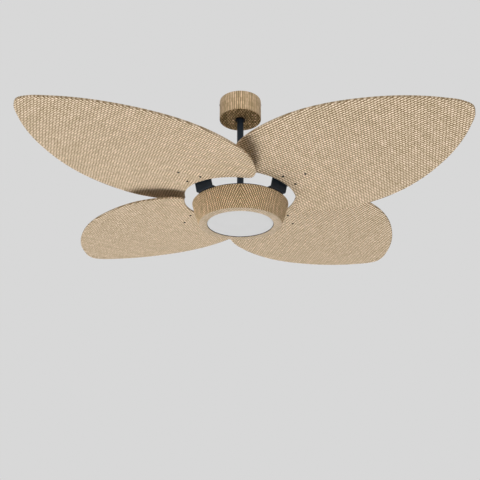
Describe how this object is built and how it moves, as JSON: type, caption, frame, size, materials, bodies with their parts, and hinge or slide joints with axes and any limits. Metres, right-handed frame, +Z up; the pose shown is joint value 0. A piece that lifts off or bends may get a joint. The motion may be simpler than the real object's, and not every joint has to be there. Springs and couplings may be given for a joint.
{
  "type": "ceiling fan with light",
  "caption": "Ceiling fan with broad leaf-shaped woven blades on cranked black brackets, a woven drum housing with a round opal light, a slim down rod and a drum canopy.",
  "frame": {"origin": "on the ceiling, at the middle of the bracket's upper face, where the fan's axis meets the ceiling", "axes": "+Z up along the fan's axis, X along the line of the two ceiling slots, +Y away from the viewer of the picture"},
  "size_m": [1.1432, 1.1432, 0.436],
  "materials": {
    "woven_blade": "matte fine woven fibre over a plywood core",
    "woven_shell": "matte fine woven fibre over a moulded shell",
    "black_metal": "satin black powder coat",
    "black_cast_metal": "satin black over cast aluminium",
    "black_plastic": "matte black",
    "dark_screw": "blackened steel",
    "zinc_steel": "zinc plated",
    "cast_aluminium": "as cast",
    "core_steel": "bare laminated steel",
    "copper_wire": "enamelled copper",
    "white_plastic": "matte white",
    "lamp_board": "white lacquered",
    "lamp_chip": "pale yellow",
    "opal_lens": "opal white, satin"
  },
  "bodies": {
    "ceiling_mount": {"hanger_bracket": "zinc_steel", "canopy": "woven_shell", "canopy_collar": "black_plastic", "canopy_screws": "zinc_steel", "receiver_box": "white_plastic", "terminal_block": "white_plastic"},
    "swivel_ball": {"hanger_ball": "black_plastic", "ball_pin": "zinc_steel"},
    "drop_assembly": {"down_rod": "black_metal", "yoke_collar": "black_metal", "yoke_pin": "zinc_steel", "yoke_clip": "zinc_steel", "yoke_set_screws": "zinc_steel", "motor_shaft": "zinc_steel", "shaft_spacer": "zinc_steel", "plate_nut": "zinc_steel", "stator_hub": "cast_aluminium", "stator_core": "core_steel", "stator_windings": "copper_wire", "bearing_inner_rings": "zinc_steel", "bearing_balls": "zinc_steel", "light_plate": "zinc_steel", "housing_cover": "woven_shell", "cover_screws": "zinc_steel", "led_board": "lamp_board", "led_chips": "lamp_chip", "led_driver": "white_plastic", "motor_drive": "white_plastic", "lens_diffuser": "opal_lens"},
    "rotor": {"motor_top_cover": "black_cast_metal", "motor_case": "black_cast_metal", "case_screws": "dark_screw", "rotor_magnets": "core_steel", "bearing_outer_rings": "zinc_steel", "bracket_screws": "dark_screw", "blade_screws": "dark_screw", "blade_1": "woven_blade", "blade_2": "woven_blade", "blade_3": "woven_blade", "blade_4": "woven_blade", "blade_bracket_1": "black_metal", "blade_bracket_2": "black_metal", "blade_bracket_3": "black_metal", "blade_bracket_4": "black_metal"}
  },
  "joints": [
    {"name": "ball_swing", "type": "hinge", "parent": "ceiling_mount", "child": "swivel_ball", "pos_m": [0, 0, -0.042], "axis": [1, 0, 0], "range_deg": [-3, 3]},
    {"name": "rod_swing", "type": "hinge", "parent": "swivel_ball", "child": "drop_assembly", "pos_m": [0, 0, -0.042], "axis": [0, 1, 0], "range_deg": [-3, 3]},
    {"name": "rotor_spin", "type": "hinge", "parent": "drop_assembly", "child": "rotor", "pos_m": [0, 0, -0.35], "axis": [0, 0, 1], "continuous": true}
  ]
}
